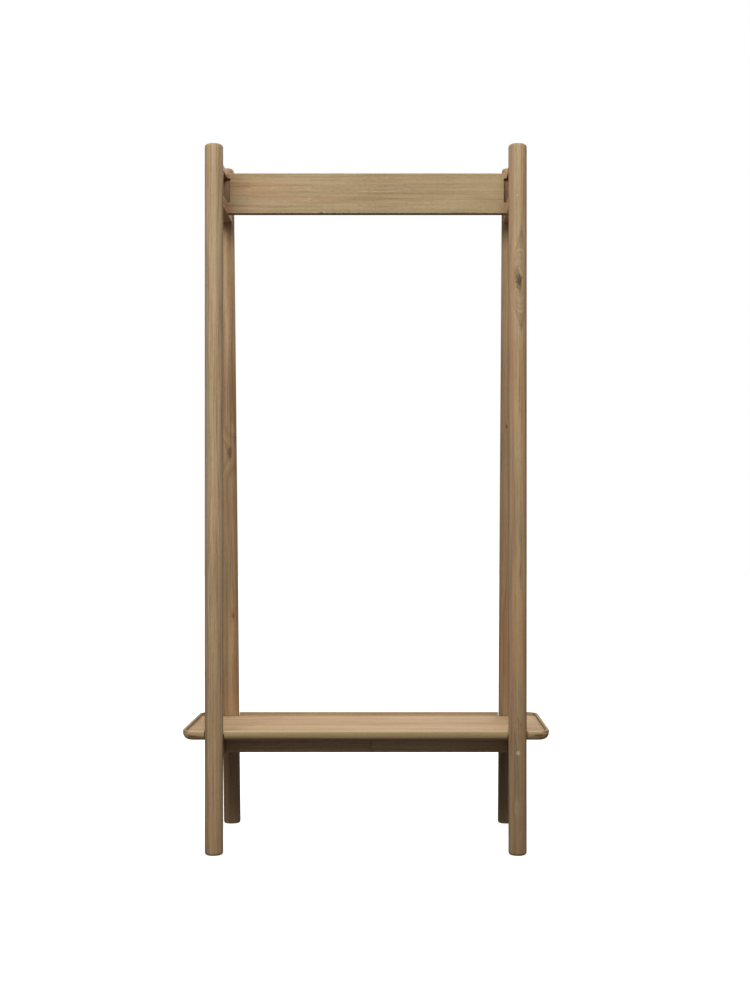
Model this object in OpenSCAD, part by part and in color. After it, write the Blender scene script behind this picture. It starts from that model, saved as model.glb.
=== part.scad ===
// Clothes rack with two leaning side frames, a hanging board and a dished shoe tray.
// Origin: centre of the footprint, on the floor. X is the width, -Y the front, +Z up.

/* [Legs] */
// Diameter of the four round legs
leg_d = 45; // [38:0.5:52]
// Height of the upright front legs
front_leg_h = 1742; // [1400:1:2000]
// Distance from the front legs' top ends down to the rear legs' top ends
rear_drop = 4; // [0:0.5:30]
// Radius of the rounding round both ends of a leg
leg_rim_r = 7; // [3:0.5:9]
// Clear width between the left and the right legs
clear_w = 700; // [500:1:900]
// Front-to-rear distance of the leg centres on the floor
foot_spread = 409; // [320:1:500]
// Forward lean of the rear legs, in degrees
rear_lean = 5.55; // [3:0.05:6.5]

/* [Side frames] */
// Thickness of the upper side boards and lower side rails
rail_t = 37; // [30:1:38]
// Height of the upper side boards
upper_board_h = 106; // [90:1:140]
// Distance from the front legs' top ends down to the upper side boards' top edges
upper_drop = 39; // [30:1:80]
// Height of the lower side rails and of the stretchers
lower_rail_h = 43; // [40:1:70]
// Thickness left behind the housing groove in an upper side board's inner face
groove_back = 16; // [14:0.5:20]
// Height of the solid part above the housing groove
groove_cap = 15; // [12:1:30]
// Distance from an upper side board's bottom edge up to the housing groove
groove_rise = 30; // [22:1:34]
// Width of the solid part between a front leg and the housing groove
groove_setback = 17.5; // [17:0.5:30]
// Radius of the softened long edges of the boards and rails
edge_r = 2; // [1:0.25:3]

/* [Hanging board] */
// Thickness of the hanging board
hang_t = 24; // [20:0.5:30]
// Distance that the hanging board's edges sit inside the side boards' edges
hang_inset = 2; // [0:0.5:4]
// Distance from the front legs' centres back to the hanging board's front face
hang_setback = 127; // [90:1:140]
// Thickness of the tongue at each end of the hanging board, flush with its back
tongue_t = 12; // [8:0.5:16]
// Length by which the board's front is cut back beside the tongue
tongue_relief = 6.6; // [2:0.1:12]

/* [Tray] */
// Distance that the tray sticks out past the legs on each side
tray_overhang = 57.5; // [35:0.5:90]
// Height of the tray's underside above the floor
tray_z = 279; // [200:1:400]
// Total height of the tray, rim included
tray_h = 24; // [20:0.5:32]
// Depth of the dished top
dish_depth = 8; // [4:0.5:10]
// Width of the rim round the dished top
rim_w = 6.5; // [5:0.5:16]
// Plan radius of the tray's corners
corner_r = 30; // [25:1:45]
// Radius of the rounding under the tray's edges
under_r = 17; // [4:0.5:18]
// Clearance between a leg and the notch round it
notch_clear = 2; // [1:0.25:4]

/* [Stretchers] */
// Thickness of the stretchers under the tray
stretcher_t = 22; // [16:0.5:28]
// Distance from the front legs' centres back to the front stretcher's front face
stretcher_setback = 97; // [60:1:120]
// Offset of the front stretcher's butt joint from the middle
seam_offset = 11; // [-60:1:60]

/* [Fixings] */
// Diameter of the frame bolts' shanks
bolt_d = 6; // [5:0.5:7]
// Length of the frame bolts' shanks
bolt_len = 68; // [60:1:80]
// Diameter of the wooden plugs and of the sockets that they fill
plug_d = 10; // [8:0.5:12]
// Length of the wooden plugs along their axes
plug_len = 8; // [6:0.5:9]
// Diameter of the dowels between rails and legs
frame_dowel_d = 10; // [8:0.5:10]
// Length of the dowels between rails and legs
frame_dowel_len = 28; // [24:1:30]
// Diameter of the stretcher dowels
stretcher_dowel_d = 8; // [6:0.5:8]
// Length of the stretcher dowels
stretcher_dowel_len = 30; // [24:1:40]
// Diameter of the screws that hold the hanging board
hang_screw_d = 4; // [4:0.5:5]
// Length of the screws that hold the hanging board
hang_screw_len = 35; // [30:1:60]
// Diameter of the tray screws
tray_screw_d = 4.5; // [4:0.25:5]

/* [Fits] */
// Gap left for glue between shaped pieces
glue_gap = 0.15; // [0.1:0.05:0.3]
// Radial clearance of dowels, plugs and screws in their holes
hole_clear = 0.1; // [0.05:0.05:0.3]
// Extra depth at the bottom of each blind hole
hole_spare = 0.5; // [0.5:0.5:2]

/* [Hidden] */

ROUND_FN = 96;
LEFT = -1;
RIGHT = 1;
SIDES = [LEFT, RIGHT];

leg_r = leg_d / 2;
rear_leg_h = front_leg_h - rear_drop;
leg_x = (clear_w + leg_d) / 2;
front_y = -(foot_spread + leg_r / cos(rear_lean) - leg_r) / 2;
rear_foot_y = front_y + foot_spread;
function rear_y(z) = rear_foot_y - z * tan(rear_lean);
// The rear foot runs on below the floor, then is cut flat to it
foot_trim = (leg_r - leg_rim_r) * sin(rear_lean);
rear_bar_len = rear_leg_h / cos(rear_lean) + foot_trim;

tray_w = clear_w + 2 * (leg_d + tray_overhang);
inner_x = leg_x - rail_t / 2;
outer_x = leg_x + rail_t / 2;
upper_top_z = front_leg_h - upper_drop;
upper_z = upper_top_z - upper_board_h;
lower_z = tray_z - lower_rail_h;
groove_z = upper_z + groove_rise;
groove_h = upper_board_h - groove_rise - groove_cap;
groove_depth = rail_t - groove_back;

hang_z = upper_z + hang_inset;
hang_h = upper_board_h - 2 * hang_inset;
hang_y = front_y + hang_setback;
tongue_y = hang_y + hang_t - tongue_t;
groove_start_y = front_y + leg_r + groove_setback;
groove_end_y = hang_y + hang_t + glue_gap;
tongue_end_x = inner_x + groove_depth - glue_gap;

tray_top_z = tray_z + tray_h;
dish_z = tray_top_z - dish_depth;
tray_front_y = front_y;
tray_rear_y = rear_y(tray_z + tray_h / 2);
tray_d = tray_rear_y - tray_front_y;
dish_corner_r = corner_r - rim_w;
tray_edge_r = min(under_r, tray_h - 1);

stretcher_front_y = front_y + stretcher_setback;
stretcher_rear_y = rear_y(lower_z) - stretcher_setback - stretcher_t;
stretcher_mid_y = stretcher_front_y + stretcher_t / 2;
rear_stretcher_mid_y = stretcher_rear_y + stretcher_t / 2;
stretcher_end_x = inner_x - glue_gap;

// Bolt heads sit under plugs, in sockets sunk into the legs
bolt_head_d = plug_d - 0.6;
bolt_head_h = 5;
bolt_key_d = 5.8;
bolt_key_depth = 3;
socket_r = plug_d / 2 + hole_clear;
socket_depth = plug_len + bolt_head_h + 2 * glue_gap;
// Fixings sit at these shares of the height of a rail or a groove
bolt_share = 0.38;
dowel_share = 0.8;
groove_dowel_share = 0.2;
groove_screw_share = 0.3;
bolt_low_z = lower_z + bolt_share * lower_rail_h;
bolt_high_z = upper_z + groove_rise / 2;
BOLT_ZS = [bolt_low_z, bolt_high_z];
dowel_low_z = lower_z + dowel_share * lower_rail_h;
DOWEL_ZS = [
    dowel_low_z,
    groove_z + groove_dowel_share * groove_h,
    groove_z + (1 - groove_dowel_share) * groove_h
];

hang_head_h = 3;
hang_head_d = 8;
hang_socket_depth = plug_len + hang_head_h + 2 * glue_gap;
HANG_SCREW_ZS = [
    groove_z + groove_screw_share * groove_h,
    groove_z + (1 - groove_screw_share) * groove_h
];
hang_screw_y = tongue_y + tongue_t / 2;

stretcher_dowel_edge = 11;
STRETCHER_DOWEL_ZS = [lower_z + stretcher_dowel_edge, tray_z - stretcher_dowel_edge];
tray_head_d = 8.5;
tray_head_h = 3;
tray_sink = 10;
tray_bite = 10;
// The tray screws sit at these shares of the distance from the middle to a side rail
TRAY_SCREW_SHARES = [-0.8, -0.32, 0.32, 0.8];
TRAY_SCREW_XS = [for (share = TRAY_SCREW_SHARES) share * inner_x];
STRETCHER_MIDS = [stretcher_mid_y, rear_stretcher_mid_y];
// Cutters run this far past what they cut
REACH = 60;
ROUND_EDGE_FN = 32;

leg_tone = "#b39a76";
board_tone = "#ad9370";
tray_tone = "#c4a67d";
rail_tone = "#9a8060";
plug_tone = "#d2bb95";
steel_tone = "#8c8f92";

// A board's cross-section with softened corners, centred
module soft_rect(w, d) {
    square([w - 2 * edge_r, d], center = true);
    square([w, d - 2 * edge_r], center = true);
    for (sx = SIDES, sy = SIDES) translate([sx * (w / 2 - edge_r), sy * (d / 2 - edge_r)])
        circle(edge_r, $fn = ROUND_EDGE_FN);
}

// A straight board along +X from x0 to x1, its centre line at y and z
module board_x(x0, x1, y, z, t, h) {
    translate([x0, y, z]) rotate([90, 0, 90]) linear_extrude(x1 - x0) soft_rect(t, h);
}

// A straight round bar on Z with both rims rounded
module round_bar(r, len, rim) {
    rotate_extrude($fn = ROUND_FN) {
        square([r - rim, len]);
        translate([0, rim]) square([r, len - 2 * rim]);
        for (z = [rim, len - rim]) translate([r - rim, z]) circle(rim, $fn = ROUND_FN);
    }
}

// A cylinder that starts at [x, y, z] and runs along +Y or -Y
module y_pin(x, y, z, r, len, dir) {
    translate([x, y, z]) rotate([dir > 0 ? -90 : 90, 0, 0]) cylinder(r = r, h = len, $fn = ROUND_FN);
}

// A cylinder that starts at [x, y, z] and runs along +X or -X
module x_pin(x, y, z, r, len, dir) {
    translate([x, y, z]) rotate([0, dir * 90, 0]) cylinder(r = r, h = len, $fn = ROUND_FN);
}

// Places children along a rear leg's leaning axis
module on_rear_axis(side) {
    translate([side * leg_x, rear_foot_y, 0]) rotate([rear_lean, 0, 0]) children();
}

// A long plain cylinder on each leg's axis, grown by a clearance
module front_leg_space(side, clear) {
    translate([side * leg_x, front_y, -REACH])
        cylinder(r = leg_r + clear, h = front_leg_h + 2 * REACH, $fn = ROUND_FN);
}

module rear_leg_space(side, clear) {
    on_rear_axis(side) translate([0, 0, -REACH])
        cylinder(r = leg_r + clear, h = rear_bar_len + 2 * REACH, $fn = ROUND_FN);
}

// Where each fixing of a leg enters: its outer surface, for a front or a rear leg
function bolt_start_y(z, front) = front ? front_y - leg_r : rear_y(z) + leg_r / cos(rear_lean);
function dowel_face_y(z, front) = front ? front_y + leg_r : rear_y(z) - leg_r / cos(rear_lean);

// Sockets, bolt holes and dowel holes of one leg
module leg_holes(side, front) {
    dir = front ? 1 : -1;
    for (z = BOLT_ZS) {
        y = bolt_start_y(z, front);
        y_pin(side * leg_x, y - dir * REACH, z, socket_r, REACH + socket_depth, dir);
        y_pin(side * leg_x, y, z, bolt_d / 2 + hole_clear, REACH, dir);
    }
    for (z = DOWEL_ZS) {
        y = dowel_face_y(z, front);
        y_pin(side * leg_x, y + dir * REACH, z, frame_dowel_d / 2 + hole_clear,
              REACH + frame_dowel_len / 2 + hole_spare, -dir);
    }
}

// Bolt and dowel holes at both ends of a side piece, for the heights given
module side_holes(side, bolt_zs, dowel_zs) {
    for (front = [true, false]) {
        dir = front ? 1 : -1;
        for (z = bolt_zs) {
            y = bolt_start_y(z, front) + dir * socket_depth;
            y_pin(side * leg_x, y, z, bolt_d / 2 + hole_clear, bolt_len + hole_spare, dir);
        }
        for (z = dowel_zs) {
            y = dowel_face_y(z, front);
            y_pin(side * leg_x, y - dir * leg_r, z, frame_dowel_d / 2 + hole_clear,
                  leg_r + frame_dowel_len / 2 + hole_spare, dir);
        }
    }
}

// A board on edge between a front and a rear leg, its ends coped to both
module side_blank(side, z, h) {
    difference() {
        translate([side * leg_x, front_y, z + h / 2]) rotate([-90, 0, 0])
            linear_extrude(rear_y(z) - front_y) soft_rect(rail_t, h);
        front_leg_space(side, glue_gap);
        rear_leg_space(side, glue_gap);
        on_rear_axis(side) translate([-REACH, 0, -REACH])
            cube([2 * REACH, REACH, rear_bar_len + 2 * REACH]);
    }
}

module front_leg(side) {
    color(leg_tone) difference() {
        translate([side * leg_x, front_y, 0]) round_bar(leg_r, front_leg_h, leg_rim_r);
        leg_holes(side, true);
    }
}

module rear_leg(side) {
    color(leg_tone) difference() {
        on_rear_axis(side) translate([0, 0, -foot_trim]) round_bar(leg_r, rear_bar_len, leg_rim_r);
        translate([side * leg_x - REACH, rear_foot_y - REACH, -REACH])
            cube([2 * REACH, 2 * REACH, REACH]);
        leg_holes(side, false);
    }
}

module upper_side_board(side) {
    color(rail_tone) difference() {
        side_blank(side, upper_z, upper_board_h);
        side_holes(side, [bolt_high_z], [DOWEL_ZS[1], DOWEL_ZS[2]]);
        // Housing groove, stopped at both ends
        translate([side > 0 ? inner_x - 1 : -inner_x - groove_depth, groove_start_y, groove_z])
            cube([groove_depth + 1, groove_end_y - groove_start_y, groove_h]);
        for (z = HANG_SCREW_ZS) {
            x_pin(side * (outer_x + 1), hang_screw_y, z, socket_r, hang_socket_depth + 1, -side);
            x_pin(side * outer_x, hang_screw_y, z, hang_screw_d / 2 + hole_clear, rail_t, -side);
        }
    }
}

module lower_side_rail(side) {
    color(rail_tone) difference() {
        side_blank(side, lower_z, lower_rail_h);
        side_holes(side, [bolt_low_z], [dowel_low_z]);
        for (y = STRETCHER_MIDS, z = STRETCHER_DOWEL_ZS) {
            x_pin(side * (inner_x - 1), y, z, stretcher_dowel_d / 2 + hole_clear,
                  1 + stretcher_dowel_len / 2 + hole_spare, side);
        }
    }
}

module hanging_board() {
    body_x = inner_x - glue_gap;
    tongue_x = body_x - tongue_relief;
    tongue_z = groove_z + glue_gap;
    tongue_h = groove_h - 2 * glue_gap;
    color(board_tone) difference() {
        union() {
            difference() {
                board_x(-body_x, body_x, hang_y + hang_t / 2, hang_z + hang_h / 2, hang_t, hang_h);
                for (side = SIDES) {
                    translate([side > 0 ? tongue_x : -body_x - 1, hang_y - 1, groove_z])
                        cube([tongue_relief + 1, hang_t - tongue_t + 1, groove_h]);
                }
            }
            translate([-tongue_end_x, tongue_y, tongue_z]) cube([2 * tongue_end_x, tongue_t, tongue_h]);
        }
        for (side = SIDES, z = HANG_SCREW_ZS) {
            x_pin(side * (outer_x - hang_socket_depth), hang_screw_y, z, hang_screw_d / 2 + hole_clear,
                  hang_screw_len + hole_spare, -side);
        }
    }
}

// A stretcher between two X positions, without its dowel holes
module stretcher_blank(x0, x1, y) {
    board_x(x0, x1, y + stretcher_t / 2, lower_z + lower_rail_h / 2, stretcher_t, lower_rail_h);
}

// Dowel holes on each side of a joint at x
module stretcher_dowel_holes(x, y_mid) {
    for (z = STRETCHER_DOWEL_ZS) {
        half = stretcher_dowel_len / 2 + hole_spare;
        x_pin(x - half, y_mid, z, stretcher_dowel_d / 2 + hole_clear, 2 * half, 1);
    }
}

// Sunk holes for the tray screws, drilled up from below
module tray_screw_holes(y_mid) {
    for (x = TRAY_SCREW_XS) {
        translate([x, y_mid, lower_z - 1])
            cylinder(d = tray_head_d + 1, h = tray_sink + 1, $fn = ROUND_FN);
        translate([x, y_mid, lower_z])
            cylinder(r = tray_screw_d / 2 + hole_clear, h = lower_rail_h + 1, $fn = ROUND_FN);
    }
}

module front_stretcher(side) {
    half_gap = glue_gap / 2;
    x0 = side < 0 ? -stretcher_end_x : seam_offset + half_gap;
    x1 = side < 0 ? seam_offset - half_gap : stretcher_end_x;
    color(rail_tone) difference() {
        stretcher_blank(x0, x1, stretcher_front_y);
        stretcher_dowel_holes(side * inner_x, stretcher_mid_y);
        stretcher_dowel_holes(seam_offset, stretcher_mid_y);
        tray_screw_holes(stretcher_mid_y);
    }
}

module rear_stretcher() {
    color(rail_tone) difference() {
        stretcher_blank(-stretcher_end_x, stretcher_end_x, stretcher_rear_y);
        for (side = SIDES) stretcher_dowel_holes(side * inner_x, rear_stretcher_mid_y);
        tray_screw_holes(rear_stretcher_mid_y);
    }
}

// Section through a slab whose two lower edges are rounded
module slab_section(w) {
    inset_x = w / 2 - tray_edge_r;
    translate([-w / 2, tray_edge_r]) square([w, tray_h - tray_edge_r]);
    translate([-inset_x, 0]) square([2 * inset_x, tray_edge_r]);
    for (side = SIDES) intersection() {
        translate([side * inset_x, tray_edge_r]) circle(tray_edge_r, $fn = ROUND_FN);
        translate([side > 0 ? inset_x : -w / 2, 0]) square(tray_edge_r);
    }
}

module tray_slab() {
    straight_w = tray_w - 2 * corner_r;
    straight_d = tray_d - 2 * corner_r;
    mid_y = (tray_front_y + tray_rear_y) / 2;
    translate([0, mid_y, tray_z]) {
        translate([-straight_w / 2, 0, 0]) rotate([90, 0, 90])
            linear_extrude(straight_w) slab_section(tray_d);
        translate([0, straight_d / 2, 0]) rotate([90, 0, 0])
            linear_extrude(straight_d) slab_section(tray_w);
        for (sx = SIDES, sy = SIDES) translate([sx * straight_w / 2, sy * straight_d / 2, 0])
            rotate_extrude($fn = ROUND_FN) intersection() {
                slab_section(2 * corner_r);
                square([corner_r + 1, tray_h]);
            }
    }
}

// The dished top: a pocket with rounded corners
module dish() {
    w = tray_w - 2 * rim_w;
    d = tray_d - 2 * rim_w;
    r = dish_corner_r;
    mid_y = (tray_front_y + tray_rear_y) / 2;
    translate([0, mid_y, dish_z]) {
        translate([-w / 2 + r, -d / 2, 0]) cube([w - 2 * r, d, REACH]);
        translate([-w / 2, -d / 2 + r, 0]) cube([w, d - 2 * r, REACH]);
        for (sx = SIDES, sy = SIDES) translate([sx * (w / 2 - r), sy * (d / 2 - r), 0])
            cylinder(r = r, h = REACH, $fn = ROUND_FN);
    }
}

module tray() {
    color(tray_tone) difference() {
        tray_slab();
        dish();
        for (side = SIDES) {
            front_leg_space(side, notch_clear);
            rear_leg_space(side, notch_clear);
        }
        for (x = TRAY_SCREW_XS, y = STRETCHER_MIDS) {
            translate([x, y, tray_z - 1]) cylinder(r = tray_screw_d / 2 + hole_clear,
                                                   h = 1 + tray_bite + hole_spare, $fn = ROUND_FN);
        }
    }
}

// One frame bolt: cylinder head with a key recess, then the shank
module frame_bolt(side, z, front) {
    dir = front ? 1 : -1;
    head_y = bolt_start_y(z, front) + dir * (socket_depth - bolt_head_h);
    difference() {
        union() {
            y_pin(side * leg_x, head_y, z, bolt_head_d / 2, bolt_head_h, dir);
            y_pin(side * leg_x, head_y, z, bolt_d / 2, bolt_head_h + bolt_len, dir);
        }
        translate([side * leg_x, head_y - dir * 1, z]) rotate([dir > 0 ? -90 : 90, 0, 0])
            cylinder(d = bolt_key_d, h = 1 + bolt_key_depth, $fn = 6);
    }
}

module frame_bolts() {
    color(steel_tone) for (side = SIDES, z = BOLT_ZS, front = [true, false])
        frame_bolt(side, z, front);
}

// One plug in a leg, its face trimmed to the leg's round surface
module leg_plug(side, z, front) {
    dir = front ? 1 : -1;
    intersection() {
        y_pin(side * leg_x, bolt_start_y(z, front) - dir * leg_r, z, plug_d / 2, leg_r + plug_len, dir);
        if (front) {
            front_leg_space(side, 0);
        } else {
            rear_leg_space(side, 0);
        }
    }
}

module leg_plugs() {
    color(plug_tone) for (side = SIDES, z = BOLT_ZS, front = [true, false]) leg_plug(side, z, front);
}

module frame_dowels() {
    color(plug_tone) for (side = SIDES, z = DOWEL_ZS, front = [true, false]) {
        dir = front ? 1 : -1;
        y_pin(side * leg_x, dowel_face_y(z, front) - dir * frame_dowel_len / 2, z,
              frame_dowel_d / 2, frame_dowel_len, dir);
    }
}

module hanging_screws() {
    color(steel_tone) for (side = SIDES, z = HANG_SCREW_ZS) {
        head_x = side * (outer_x - hang_socket_depth + hang_head_h);
        x_pin(head_x, hang_screw_y, z, hang_head_d / 2, hang_head_h, -side);
        x_pin(head_x, hang_screw_y, z, hang_screw_d / 2, hang_head_h + hang_screw_len, -side);
    }
}

module side_plugs() {
    color(plug_tone) for (side = SIDES, z = HANG_SCREW_ZS)
        x_pin(side * outer_x, hang_screw_y, z, plug_d / 2, plug_len, -side);
}

module stretcher_dowel(x, y, z) {
    x_pin(x - stretcher_dowel_len / 2, y, z, stretcher_dowel_d / 2, stretcher_dowel_len, 1);
}

module stretcher_dowels() {
    color(plug_tone) {
        for (side = SIDES, y = STRETCHER_MIDS, z = STRETCHER_DOWEL_ZS)
            stretcher_dowel(side * inner_x, y, z);
        for (z = STRETCHER_DOWEL_ZS) stretcher_dowel(seam_offset, stretcher_mid_y, z);
    }
}

module tray_screws() {
    color(steel_tone) for (x = TRAY_SCREW_XS, y = STRETCHER_MIDS) {
        seat_z = lower_z + tray_sink;
        translate([x, y, seat_z - tray_head_h])
            cylinder(d = tray_head_d, h = tray_head_h, $fn = ROUND_FN);
        translate([x, y, seat_z - tray_head_h])
            cylinder(d = tray_screw_d, h = tray_z + tray_bite - seat_z + tray_head_h, $fn = ROUND_FN);
    }
}

front_leg(LEFT);  // front_leg_left
front_leg(RIGHT);  // front_leg_right
rear_leg(LEFT);  // rear_leg_left
rear_leg(RIGHT);  // rear_leg_right
upper_side_board(LEFT);  // upper_side_board_left
upper_side_board(RIGHT);  // upper_side_board_right
lower_side_rail(LEFT);  // lower_side_rail_left
lower_side_rail(RIGHT);  // lower_side_rail_right
hanging_board();
front_stretcher(LEFT);  // front_stretcher_left
front_stretcher(RIGHT);  // front_stretcher_right
rear_stretcher();
tray();
frame_bolts();
leg_plugs();
frame_dowels();
hanging_screws();
side_plugs();
stretcher_dowels();
tray_screws();
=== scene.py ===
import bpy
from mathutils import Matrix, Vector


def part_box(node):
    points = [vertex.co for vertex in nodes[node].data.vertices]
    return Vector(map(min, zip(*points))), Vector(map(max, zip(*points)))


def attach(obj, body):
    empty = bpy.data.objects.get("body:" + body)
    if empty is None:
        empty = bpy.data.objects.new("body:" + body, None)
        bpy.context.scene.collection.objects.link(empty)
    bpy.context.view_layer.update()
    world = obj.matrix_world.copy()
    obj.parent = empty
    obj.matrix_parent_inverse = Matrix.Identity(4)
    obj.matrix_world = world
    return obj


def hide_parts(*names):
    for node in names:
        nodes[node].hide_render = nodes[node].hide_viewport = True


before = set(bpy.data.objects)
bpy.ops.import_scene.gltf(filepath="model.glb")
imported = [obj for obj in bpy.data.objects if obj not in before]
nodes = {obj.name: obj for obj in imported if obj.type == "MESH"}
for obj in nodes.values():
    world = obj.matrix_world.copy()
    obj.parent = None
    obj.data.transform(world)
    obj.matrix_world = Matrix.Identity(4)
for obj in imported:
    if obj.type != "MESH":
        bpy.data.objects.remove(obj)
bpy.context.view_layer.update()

import math

import bmesh
import bpy
from mathutils import Vector

scene = bpy.context.scene

# The view: a long lens square to the front of the rack, a little below the
# middle of its height, and slightly to the right of its centre line.

eye_height = 0.811
eye_side = 0.084
eye_distance = 3.75
front_leg_low, front_leg_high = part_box("front_leg_left")
leg_radius = (front_leg_high.x - front_leg_low.x) / 2
front_line = (front_leg_low.y + front_leg_high.y) / 2

camera_data = bpy.data.cameras.new("camera")
camera_data.sensor_fit = "VERTICAL"
camera_data.sensor_width = 27
camera_data.sensor_height = 36
camera_data.lens = 55.01
camera_data.shift_x = -0.025
camera_data.shift_y = 0.024
camera = bpy.data.objects.new("camera", camera_data)
camera.location = (eye_side, front_line - eye_distance, eye_height)
camera.rotation_euler = (math.radians(90), 0, 0)
scene.collection.objects.link(camera)
scene.camera = camera

# Front legs: upright round bars of solid oak, turned on a lathe, both rims
# rounded over, finished with a thin matt oil. Each shows its own grain.


class Tone:
    """One value in a finish. Arithmetic on it adds the maths that works it out."""

    def __init__(self, finish, socket):
        self.finish = finish
        self.socket = socket

    def __add__(self, other):
        return self.finish.sum("ADD", self, other)

    def __sub__(self, other):
        return self.finish.sum("SUBTRACT", self, other)

    def __rsub__(self, other):
        return self.finish.sum("SUBTRACT", other, self)

    def __mul__(self, other):
        return self.finish.sum("MULTIPLY", self, other)

    def __truediv__(self, other):
        return self.finish.sum("DIVIDE", self, other)

    def __pow__(self, other):
        return self.finish.sum("POWER", self, other)

    __radd__ = __add__
    __rmul__ = __mul__


class Finish:
    """A surface finish, or the surround: its nodes are made and linked here."""

    def __init__(self, owner):
        self.material = owner
        owner.use_nodes = True
        self.tree = owner.node_tree
        self.shader = self.tree.nodes.get("Principled BSDF")

    def node(self, kind, settings, inputs, output=0):
        made = self.tree.nodes.new("ShaderNode" + kind)
        for name, value in settings.items():
            setattr(made, name, value)
        self.fill(made, inputs)
        return Tone(self, made.outputs[output])

    def fill(self, made, inputs):
        for name, value in inputs.items():
            if isinstance(value, Tone):
                self.tree.links.new(value.socket, made.inputs[name])
            else:
                made.inputs[name].default_value = value

    def sum(self, operation, first, second=0.0):
        return self.node("Math", {"operation": operation}, {0: first, 1: second})

    def ramp(self, value, low, high, start=0.0, end=1.0):
        inputs = {"Value": value, "From Min": low, "From Max": high}
        inputs.update({"To Min": start, "To Max": end})
        return self.node("MapRange", {"interpolation_type": "SMOOTHSTEP"}, inputs)

    def noise(self, place, scale, detail=2.0, roughness=0.5):
        inputs = {"Vector": place, "Scale": scale, "Detail": detail, "Roughness": roughness}
        return self.node("TexNoise", {}, inputs)

    def mix(self, share, first, second):
        return self.node("Mix", {"data_type": "RGBA"}, {0: share, 6: first, 7: second}, 2)

    def join(self, x, y, z):
        return self.node("CombineXYZ", {}, {0: x, 1: y, 2: z})


def paint(code):
    """A six-digit colour as the linear values that a shader takes."""
    parts = [int(code[i:i + 2], 16) / 255 for i in (0, 2, 4)]
    return tuple(((p + 0.055) / 1.055) ** 2.4 if p > 0.04 else p / 12.92 for p in parts) + (1.0,)


heartwood_orange = paint("b07f55")
sapwood_green = paint("8d8862")
streak_brown = paint("6f5035")
pore_brown = paint("5b4128")
ray_cream = paint("d9c39c")
knot_brown = paint("4b3727")
end_grain_brown = paint("6e5337")
shaded_brown = paint("6d4f36")
sway_size = 0.022
ripple_size = 0.0016
fibre_depth = 0.0006


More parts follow.
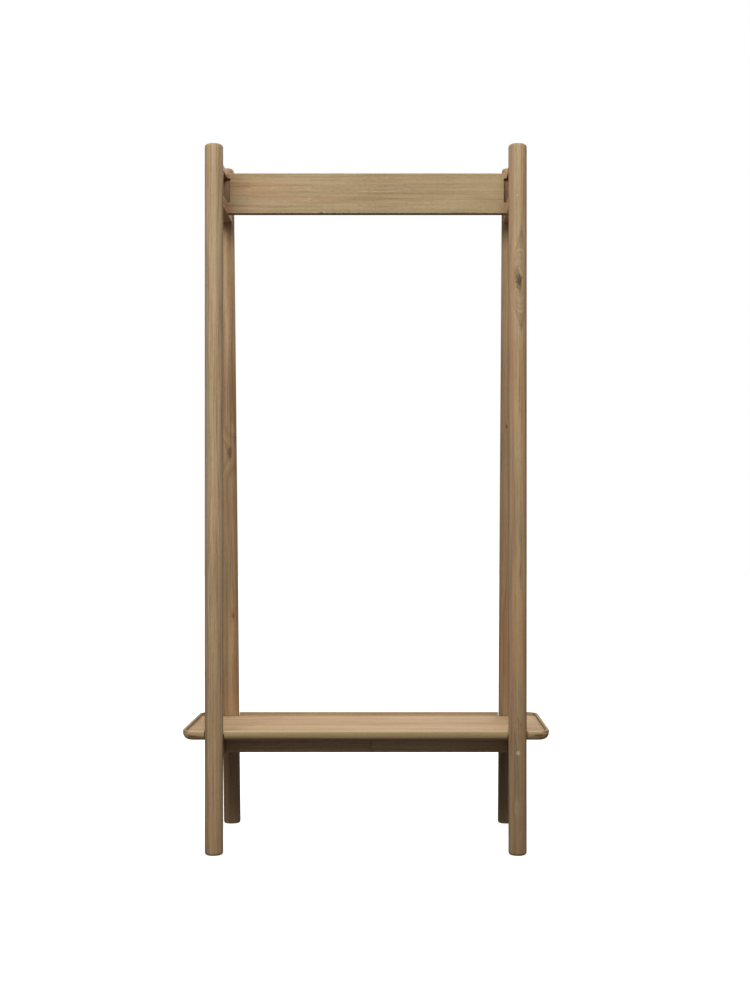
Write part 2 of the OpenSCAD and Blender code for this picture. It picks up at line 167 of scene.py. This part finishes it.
def oak(name, along, place, heart, light, dark, ring=0.0035, figure=1.0, lean=0.0,
        staves=(), knots=(), seed=0.0, gloss=0.35, extra=None):
    """Solid oak: growth rings round a heart line that runs along the piece, and its fibres."""
    f = Finish(bpy.data.materials.new(name))
    spot = f.node("TexCoord", {}, {}, "Object")
    inputs = {"Vector": spot, "Location": place, "Rotation": (lean, 0, 0)}
    local = f.node("Mapping", {"vector_type": "TEXTURE"}, inputs)
    axes = [f.node("SeparateXYZ", {}, {0: local}, i) for i in range(3)]
    f.spot_axes = [f.node("SeparateXYZ", {}, {0: spot}, i) for i in range(3)]
    order = {"x": (1, 2, 0), "y": (0, 2, 1), "z": (0, 1, 2)}[along]
    across, depth, run = [axes[i] for i in order]

    # Glued-up staves: each has its own tint and its own piece of grain
    shade = None
    if staves:
        width, shift, spread = staves
        index = f.sum("FLOOR", across / width + shift)
        shade = f.node("TexWhiteNoise", {"noise_dimensions": "1D"}, {"W": index + seed}, "Value")
        run = run + shade * 3.0
        shade = (shade - 0.5) * spread

    # Where the grain swerves round a knot
    swerve = None
    dark_spot = None
    for position, size, strength in knots:
        apart = f.node("VectorMath", {"operation": "SUBTRACT"}, {0: local, 1: position})
        flat = f.node("VectorMath", {"operation": "MULTIPLY"},
                      {0: apart, 1: tuple(0.45 if a == along else 1.0 for a in "xyz")})
        away = f.node("VectorMath", {"operation": "LENGTH"}, {0: flat}, "Value")
        near = f.ramp(away, size * 3.5, 0.0)
        rag = f.noise(f.join(across, depth, run * 0.5), 260.0, 3.0, 0.6)
        core = f.ramp(away + (rag - 0.5) * size * 1.6, size, size * 0.25) * strength
        swerve = near * size * 2.0 if swerve is None else swerve + near * size * 2.0
        dark_spot = core if dark_spot is None else f.sum("MAXIMUM", dark_spot, core)

    long_place = f.join(across + seed, depth - seed, run * 0.22)
    sway = f.noise(long_place, 9.0, 2.0) - 0.5
    sway_other = f.noise(f.join(across - seed, run * 0.22, depth + seed), 9.0, 2.0) - 0.5
    left = across - heart[0] + sway * sway_size * figure
    back = depth - heart[1] + sway_other * sway_size * figure
    radius = f.sum("SQRT", left * left + back * back)
    ripple = f.noise(f.join(across, depth, run * 0.12), 95.0, 3.0, 0.6) - 0.5
    radius = radius + ripple * ripple_size
    if swerve is not None:
        radius = radius + swerve
    year = radius / ring + seed * 7.0
    late = f.sum("FRACT", year) ** 3.0
    growth = f.node("TexNoise", {"noise_dimensions": "1D"},
                    {"W": year, "Scale": 0.45, "Detail": 3.0, "Roughness": 0.65})

    # Long streaks, fine fibres, short dark pores and pale rays
    streak = f.noise(f.join(across, depth, run * 0.025), 210.0, 4.0, 0.62)
    fibre = f.noise(f.join(across, depth, run * 0.018), 1100.0, 2.0, 0.6)
    pore = f.ramp(f.noise(f.join(across, depth, run * 0.05), 1500.0, 1.0), 0.60, 0.72)
    ray = f.ramp(f.noise(f.join(across, depth * 0.25, run * 0.10), 520.0, 2.0, 0.6), 0.62, 0.74)
    cloud = f.noise(f.join(across * 0.7, depth * 0.7, run * 0.35 + seed), 11.0, 3.0, 0.55)
    hue = f.noise(f.join(across * 1.6, depth, run * 0.10 - seed), 24.0, 2.0, 0.5)

    body = f.ramp(growth, 0.30, 0.72) * 0.42 * figure + late * 0.16 * figure
    body = body + f.ramp(streak, 0.30, 0.72) * 0.40 + (fibre - 0.5) * 0.36
    body = body + (cloud - 0.5) * 1.05
    if shade is not None:
        body = body + shade
    body = f.sum("MINIMUM", f.sum("MAXIMUM", body, 0.0), 1.0)
    colour = f.mix(body, paint(light), paint(dark))
    colour = f.mix(f.ramp(hue, 0.52, 0.72) * 0.38, colour, heartwood_orange)
    colour = f.mix(f.ramp(hue, 0.48, 0.28) * 0.30, colour, sapwood_green)
    colour = f.mix(f.ramp(streak, 0.56, 0.70) * 0.34 * figure, colour, streak_brown)
    colour = f.mix(pore * 0.38, colour, pore_brown)
    colour = f.mix(ray * 0.14, colour, ray_cream)
    if dark_spot is not None:
        colour = f.mix(dark_spot, colour, knot_brown)
    if extra is not None:
        colour = extra(f, colour, axes)

    # The cut ends show the rings from above and drink in more oil
    way = f.node("TexCoord", {}, {}, "Normal")
    turned = f.node("Mapping", {"vector_type": "NORMAL"}, {"Vector": way, "Rotation": (-lean, 0, 0)})
    facing = f.node("SeparateXYZ", {}, {0: turned}, "xyz".index(along))
    ends = f.ramp(f.sum("ABSOLUTE", facing), 0.72, 0.95)
    colour = f.mix(ends * (0.35 + late * 0.3), colour, end_grain_brown)

    relief = fibre * 0.5 + late * 0.35 - pore * 0.9
    bump = f.node("Bump", {}, {"Strength": 0.28, "Distance": fibre_depth, "Height": relief})
    rough = f.ramp(streak, 0.25, 0.75, 0.50, 0.62) + pore * 0.12
    f.fill(f.shader, {"Base Color": colour, "Roughness": rough, "Normal": bump})
    f.shader.inputs["Specular IOR Level"].default_value = gloss
    return f.material


def coat(node, material):
    """Gives a node its finish."""
    for place in nodes[node].material_slots:
        place.material = material


leg_side = (front_leg_low.x + front_leg_high.x) / 2
coat("front_leg_left", oak(
    "oak_front_leg_left", "z", (leg_side, front_line, 0), (0.055, 0.030),
    "b49b7a", "8c7253", figure=1.35, seed=0.31))


def orange_edge_and_low_shade(f, colour, axes):
    """Warm heartwood along the right of the leg, pinker to the left, and painted shade making it
    browner low down.
    """
    warm = f.ramp(axes[0], 0.009, 0.016)
    pink = f.ramp(axes[0], -0.006, -0.015)
    colour = f.mix(warm * 0.45, colour, paint("bb8a5c"))
    # Painted shade: the leg darkens towards its foot.
    colour = f.mix(f.ramp(axes[2], 0.95, 0.15) * 0.18, colour, shaded_brown)
    return f.mix(pink * 0.30, colour, paint("ad8a73"))


coat("front_leg_right", oak(
    "oak_front_leg_right", "z", (-leg_side, front_line, 0), (-0.020, 0.060),
    "ac9671", "846b4e", figure=1.6, seed=1.73, extra=orange_edge_and_low_shade,
    knots=[((0.001, -0.022, 1.405), 0.0125, 0.95), ((-0.003, -0.0222, 1.423), 0.009, 0.55),
           ((0.004, -0.0218, 1.384), 0.008, 0.50), ((-0.004, -0.0225, 0.118), 0.004, 0.25)]))

# Rear legs: the same round oak bars, leaning forward to meet the upper
# boards, with their feet cut flat to the floor.

rear_low, rear_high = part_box("rear_leg_left")
rear_height = rear_high.z
rear_lean = math.atan((rear_high.y - rear_low.y - 2 * leg_radius) / rear_height)
rear_foot = rear_high.y - leg_radius


def rear_leg_painted_shade(f, colour, axes):
    """Painted shade: the rear bars are darker below their middle, and darkest at their feet under the
    tray.
    """
    colour = f.mix(f.ramp(axes[2], 1.50, 1.12) * 0.30, colour, shaded_brown)
    # Painted shadow of the tray on the feet.
    return f.mix(f.ramp(axes[2], 0.30, 0.20) * 0.30, colour, paint("4c3522"))


coat("rear_leg_left", oak(
    "oak_rear_leg_left", "z", (leg_side, rear_foot, 0), (0.035, -0.050),
    "caaa82", "9e7c5c", seed=2.9, lean=rear_lean, figure=1.3, extra=rear_leg_painted_shade,
    knots=[((0.012, -0.0205, 0.570), 0.004, 0.8), ((0.006, -0.0214, 1.008), 0.011, 0.60)]))

coat("rear_leg_right", oak(
    "oak_rear_leg_right", "z", (-leg_side, rear_foot, 0), (-0.045, -0.040),
    "bc9e77", "917254", seed=4.4, lean=rear_lean, figure=1.3, extra=rear_leg_painted_shade,
    knots=[((-0.007, -0.0214, 1.075), 0.004, 0.8)]))

# Upper side boards: flat oak boards on edge between the legs, their ends
# hollowed to the round of the legs, bolted and dowelled to them.

housing_low = 0.030
housing_cap = 0.015
housing_back = 0.016
cut_blur = 0.001
housing_lip = 0.0012
side_board_low, side_board_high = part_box("upper_side_board_right")
inner_face = side_board_low.x
housing_end = side_board_high.x - housing_back
housing_bottom = side_board_low.z + housing_low
housing_top = side_board_high.z - housing_cap


def housing_painted_shade(f, colour, axes, start):
    """Painted shade inside the housing: darker towards the bottom, and warmer and redder on the
    right.
    """
    out = f.sum("ABSOLUTE", axes[0])
    inward = f.ramp(out, start, start + cut_blur)
    inward = inward * f.ramp(out, housing_end + 3 * cut_blur, housing_end + cut_blur)
    above = f.ramp(axes[2], housing_bottom - cut_blur, housing_bottom + cut_blur)
    below = f.ramp(axes[2], housing_top + cut_blur, housing_top - cut_blur)
    # Painted shade grows darker from the top of the housing to its bottom.
    shade_fall = f.ramp(axes[2], housing_top, housing_bottom)
    grey_shade = f.mix(shade_fall, paint("a1805c"), paint("7c5c42"))
    warm = f.mix(shade_fall, paint("8c643e"), paint("5c3a25"))
    on_right = f.ramp(axes[0], -0.01, 0.01)
    housing_shade_colour = f.mix(on_right, grey_shade, warm)
    return f.mix(inward * above * below * 0.85, colour, housing_shade_colour)


for side, name in ((-1, "left"), (1, "right")):
    low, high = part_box("upper_side_board_" + name)
    middle = (low + high) / 2

    # Painted shade in the housings of the upper side boards.
    def board_housing_shade(f, colour, axes):
        return housing_painted_shade(f, colour, f.spot_axes, inner_face + housing_lip)

    coat("upper_side_board_" + name, oak(
        "oak_upper_board_" + name, "y", middle, (side * 0.03, 0.14),
        "dcbb8e", "b5926b", seed=5.2 + side, gloss=0.08, extra=board_housing_shade))

# Lower side rails: narrower oak boards under the tray, hollowed at their ends
# and bolted and dowelled to the legs as the upper boards are.

for side, name in ((-1, "left"), (1, "right")):
    low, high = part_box("lower_side_rail_" + name)
    middle = (low + high) / 2
    coat("lower_side_rail_" + name, oak(
        "oak_lower_rail_" + name, "y", middle, (side * 0.05, 0.09),
        "a3876a", "7d6145", seed=7.6 + side))

# Hanging board: one wide flat-sawn oak board whose tongues slide into housings
# in the side boards and are held there by screws; hangers hook over its top edge.

tongue_relief = 0.0066
tongue_fade_start = inner_face - 0.030
tongue_fade_end = inner_face - 0.004
underside_top = housing_bottom + 0.004
underside_low = housing_bottom - 0.010


def tongue_painted_shade(f, colour, axes):
    """Painted shade on the tongue and the cut-back beside it, as in the housing, and in the lower
    corners at the board's ends.
    """
    end = f.ramp(f.sum("ABSOLUTE", f.spot_axes[0]), tongue_fade_start, tongue_fade_end)
    under = f.ramp(f.spot_axes[2], underside_top, underside_low)
    # Painted shade in the lower corner of each end of the board, next to the side boards.
    colour = f.mix(end * under * 0.40, colour, paint("8a5b43"))
    return housing_painted_shade(f, colour, f.spot_axes, inner_face - tongue_relief)


low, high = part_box("hanging_board")
board_middle = (low + high) / 2
coat("hanging_board", oak(
    "oak_hanging_board", "x", board_middle, (0.085, -0.012),
    "a48e69", "896f4b", seed=3.3, figure=0.9, ring=0.0030, extra=tongue_painted_shade,
    knots=[((-0.116, -0.012, -0.049), 0.003, 0.8)]))

# Stretchers: two lengths of oak butted end to end at the front and one at the
# rear, dowelled between the lower rails; the tray is screwed to them from below.

seam_line = (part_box("front_stretcher_left")[1].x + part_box("front_stretcher_right")[0].x) / 2
seam_reach = 0.0022
seam_core = 0.0006


def butt_joint(f, colour, axes):
    """Glue and shadow darken the arrises where the two lengths meet."""
    close = f.ramp(f.sum("ABSOLUTE", axes[0] - seam_line), seam_reach, seam_core)
    return f.mix(close * 0.40, colour, paint("1e150d"))


for seed, name in ((0.8, "front_stretcher_left"), (2.2, "front_stretcher_right"),
                   (3.9, "rear_stretcher")):
    low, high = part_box(name)
    middle = (low + high) / 2
    coat(name, oak("oak_" + name, "x", (0, middle.y, middle.z), (0.045, 0.020),
                   "cbad86", "a58662", seed=seed,
                   extra=butt_joint if name.startswith("front") else None))

# Tray: oak staves glued edge to edge, dished on top to leave a low rim,
# rounded under the edge and notched round the four legs.

low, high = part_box("tray")
tray_middle = (low + high) / 2
tray_half = (high - low) / 2
front_stave = 0.0035
dish_depth = 0.008
rim_and_cove = 0.0145
end_streaks = 0.060
lip_bottom = tray_half.z - 0.0045
lip_full = tray_half.z - 0.001
rim_bottom = tray_half.z - 0.0075
rim_full = tray_half.z - 0.005
edge_blur = 0.002


def edge_stave(f, colour, axes):
    """The front is greener with a painted highlight along its lip, painted light on its lower part
    and dark streaks at its ends; the rim is duller.
    """
    front = f.ramp(axes[1], front_stave - tray_half.y, front_stave - tray_half.y - edge_blur)
    colour = f.mix(front * 0.45, colour, paint("9a8e68"))
    # Painted highlight along the rounded top edge of the front.
    lip_highlight = f.ramp(axes[2], lip_bottom, lip_full)
    colour = f.mix(front * lip_highlight * 0.75, colour, paint("e2c9a0"))
    # Painted light on the lower part of the front and its rounding underneath.
    under = f.ramp(axes[2], -0.001, -0.008)
    colour = f.mix(front * under * 0.75, colour, paint("e6cda6"))
    gap_side = tray_half.x - f.sum("ABSOLUTE", axes[0])
    gap = f.sum("MINIMUM", gap_side, tray_half.y - axes[1])
    raised = f.ramp(axes[2], rim_bottom, rim_full)
    rim = f.ramp(gap, rim_and_cove, rim_and_cove - edge_blur) * raised
    colour = f.mix(rim * 0.55, colour, paint("8f8060"))
    dark = f.noise(f.join(axes[0] * 0.3, axes[1], axes[2] * 1.4), 70.0, 2.0, 0.5)
    end = f.ramp(f.sum("ABSOLUTE", axes[0]), tray_half.x - end_streaks, tray_half.x - end_streaks / 2)
    low_edge = f.sum("MAXIMUM", f.ramp(axes[2], 0.0035, 0.001),
                     front * f.ramp(axes[2], tray_half.z - 0.004, tray_half.z - 0.009))
    return f.mix(f.ramp(dark, 0.44, 0.62) * end * low_edge * 0.80, colour, paint("5f452e"))


tray_oak = oak(
    "oak_tray", "x", tray_middle, (0.110, -0.060),
    "c9aa82", "a6845c", seed=6.1, staves=(0.062, 0.45, 0.55), ring=0.0045,
    extra=edge_stave)
cove_radius = 0.0074
rim_softness = 0.0024
sharp_corner = math.radians(38)
nearly = 0.0003
dish_floor = high.z - dish_depth

shell = bmesh.new()
shell.from_mesh(nodes["tray"].data)
bmesh.ops.remove_doubles(shell, verts=shell.verts, dist=0.00002)
bmesh.ops.dissolve_limit(
    shell, angle_limit=math.radians(1), verts=shell.verts, edges=shell.edges)


def soften(choose, size, steps):
    """Rounds the sharp edges that choose picks."""
    sharp = [e for e in shell.edges if e.is_manifold and e.calc_face_angle() > sharp_corner]
    bmesh.ops.bevel(shell, geom=[e for e in sharp if choose(e)], offset=size, segments=steps,
                    offset_type="OFFSET", profile=0.5, affect="EDGES", clamp_overlap=True,
                    material=-1)


soften(lambda e: all(abs(v.co.z - dish_floor) < nearly for v in e.verts), cove_radius, 7)
soften(lambda e: all(v.co.z > dish_floor + nearly for v in e.verts), rim_softness, 4)
for face in shell.faces:
    face.smooth = True

tray_mesh = bpy.data.meshes.new("tray_top")
shell.to_mesh(tray_mesh)
shell.free()
tray_mesh.set_sharp_from_angle(angle=math.radians(35))
tray_mesh.materials.append(tray_oak)
tray = bpy.data.objects.new("tray_top", tray_mesh)
scene.collection.objects.link(tray)
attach(tray, "root")
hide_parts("tray")

# Plugs: short oak cross-grain pegs, glued in over the bolt and screw heads.
# One at the front was cut from a paler board than its leg.


def pale_peg(f, colour, axes):
    """The lower right plug at the front is pale, the rest match the legs."""
    right = f.ramp(axes[0], 0.30, 0.34)
    low_down = f.ramp(axes[2], 0.60, 0.50)
    front = f.ramp(axes[1], -0.15, -0.19)
    return f.mix(right * low_down * front * 0.5, colour, paint("cdb48e"))


peg_oak = oak("oak_plugs", "x", (0, 0, 0), (0.3, 0.4), "ab9271", "8d7353", seed=9.1,
              extra=pale_peg)
coat("leg_plugs", peg_oak)
coat("side_plugs", oak(
    "oak_side_plugs", "z", (0, 0, 0), (0.3, 0.4), "b79b74", "94774f", seed=9.6))

# Dowels: plain round beech pins, glued into both pieces and out of sight, where
# boards and rails meet the legs and at the ends of the stretchers.

dowel_wood = oak("beech_dowels", "x", (0, 0, 0), (0.5, 0.5), "cdb08a", "b59670", seed=8.2)
coat("frame_dowels", dowel_wood)
coat("stretcher_dowels", dowel_wood)

# Bolts and screws: zinc-plated steel with a faint turned brushing, sunk in
# their sockets so that only the tray screws can be seen, from below.

steel = Finish(bpy.data.materials.new("zinc_plated_steel"))
spot = steel.node("TexCoord", {}, {}, "Object")
brushing = steel.noise(spot, 900.0, 3.0, 0.6)
cloud = steel.noise(spot, 60.0, 2.0)
zinc = steel.mix(steel.ramp(cloud, 0.3, 0.7), paint("8f9293"), paint("a9abaa"))
bump = steel.node("Bump", {}, {"Strength": 0.15, "Distance": 0.0002, "Height": brushing})
steel.fill(steel.shader, {
    "Base Color": zinc, "Metallic": 1.0, "Normal": bump,
    "Roughness": steel.ramp(brushing, 0.3, 0.7, 0.28, 0.42)})
for name in ("frame_bolts", "hanging_screws", "tray_screws"):
    coat(name, steel.material)

# The studio: a pale plain floor, a large soft light high in front, a weaker
# one behind, and a dim surround that is brighter above than below.

floor_half = 14
floor_back = 6
floor_drop = 0.0005
floor_data = bpy.data.meshes.new("floor")
slab = bmesh.new()
bmesh.ops.create_grid(slab, x_segments=1, y_segments=1, size=floor_half)
bmesh.ops.translate(slab, vec=(0, floor_back, -floor_drop), verts=slab.verts)
slab.to_mesh(floor_data)
slab.free()
floor = bpy.data.objects.new("floor", floor_data)
scene.collection.objects.link(floor)
floor_finish = Finish(bpy.data.materials.new("pale_floor"))
floor_finish.fill(floor_finish.shader, {
    "Base Color": (0.85, 0.85, 0.85, 1), "Roughness": 0.9,
    "Emission Color": (1, 1, 1, 1), "Emission Strength": 0.68})
floor_data.materials.append(floor_finish.material)
floor.visible_diffuse = False
floor.visible_glossy = False


def softbox(name, position, target, width, height, power, colour):
    """A rectangular studio light turned towards a point."""
    data = bpy.data.lights.new(name, "AREA")
    data.shape = "RECTANGLE"
    data.size = width
    data.size_y = height
    data.energy = power
    data.color = colour
    lamp = bpy.data.objects.new(name, data)
    lamp.location = position
    aim = Vector(target) - Vector(position)
    lamp.rotation_euler = aim.to_track_quat("-Z", "Y").to_euler()
    scene.collection.objects.link(lamp)


softbox("key_light", (-0.4, -2.8, 2.6), (0, 0, 1.25), 2.4, 1.2, 90, (1, 0.985, 0.955))
softbox("back_light", (0.8, 2.8, 3.0), (0, 0, 1.0), 2.0, 1.2, 30, (0.97, 0.98, 1))

world = bpy.data.worlds.new("surround")
scene.world = world
surround = Finish(world)
direction = surround.node("TexCoord", {}, {}, "Generated")
height = surround.node("SeparateXYZ", {}, {0: direction}, "Z")
brightness = surround.node("MapRange", {}, {
    "Value": height, "From Min": -0.15, "From Max": 0.9, "To Min": 0.10, "To Max": 0.75})
dim = surround.node("Background", {}, {"Color": (1, 0.99, 0.97, 1), "Strength": brightness})
white = surround.node("Background", {}, {"Color": (1, 1, 1, 1)})
seen = surround.node("LightPath", {}, {}, "Is Camera Ray")
shown = surround.node("MixShader", {}, {0: seen, 1: dim, 2: white})
surround.fill(surround.tree.nodes["World Output"], {"Surface": shown})
scene.view_settings.view_transform = "Standard"
